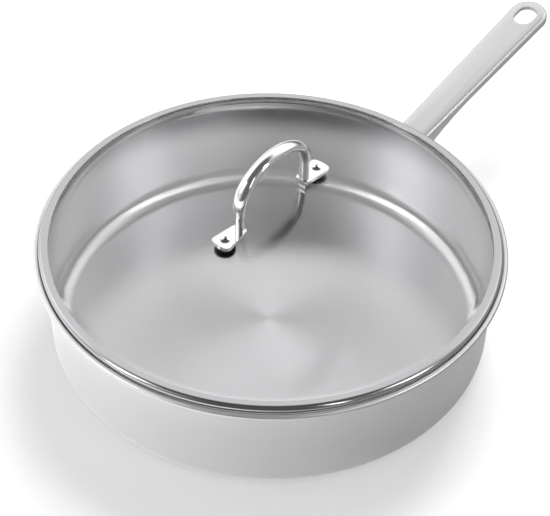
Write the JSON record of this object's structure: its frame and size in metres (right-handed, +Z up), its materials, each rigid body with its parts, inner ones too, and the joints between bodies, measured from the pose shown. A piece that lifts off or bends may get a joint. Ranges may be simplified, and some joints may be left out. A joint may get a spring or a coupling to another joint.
{
  "type": "saute pan with lid",
  "caption": "Wide, straight-sided steel saute pan with a long channel handle and a domed glass lid with an arched steel pull.",
  "frame": {"origin": "centre of the flat face that the pan stands on", "axes": "+Z up through the lid's pull, +X out along the handle, +Y to the left of the handle"},
  "size_m": [0.4487, 0.297, 0.1465],
  "materials": {
    "satin_steel": "satin stainless steel, brushed round the wall",
    "handle_steel": "fine satin stainless steel",
    "polished_steel": "polished stainless steel",
    "aluminium_core": "plain rolled aluminium",
    "lid_glass": "clear tempered glass",
    "pale_silicone": "pale silicone bedding",
    "black_silicone": "matt black silicone"
  },
  "bodies": {
    "pan": {"pan_body": "satin_steel", "base_core": "aluminium_core", "base_cap": "satin_steel", "handle": "handle_steel", "handle_bracket": "handle_steel"},
    "lid": {"lid_glass": "lid_glass", "lid_band": "polished_steel", "glass_seal": "pale_silicone", "lid_pull": "polished_steel", "outer_gasket_handle_side": "black_silicone", "outer_gasket_far_side": "black_silicone", "inner_gasket_handle_side": "black_silicone", "inner_gasket_far_side": "black_silicone", "washer_handle_side": "handle_steel", "washer_far_side": "handle_steel", "screw_handle_side": "handle_steel", "screw_far_side": "handle_steel"}
  },
  "joints": [
    {"name": "lid_lift", "type": "slide", "parent": "pan", "child": "lid", "axis": [0, 0, 1], "range_m": [0, 0.12]}
  ]
}
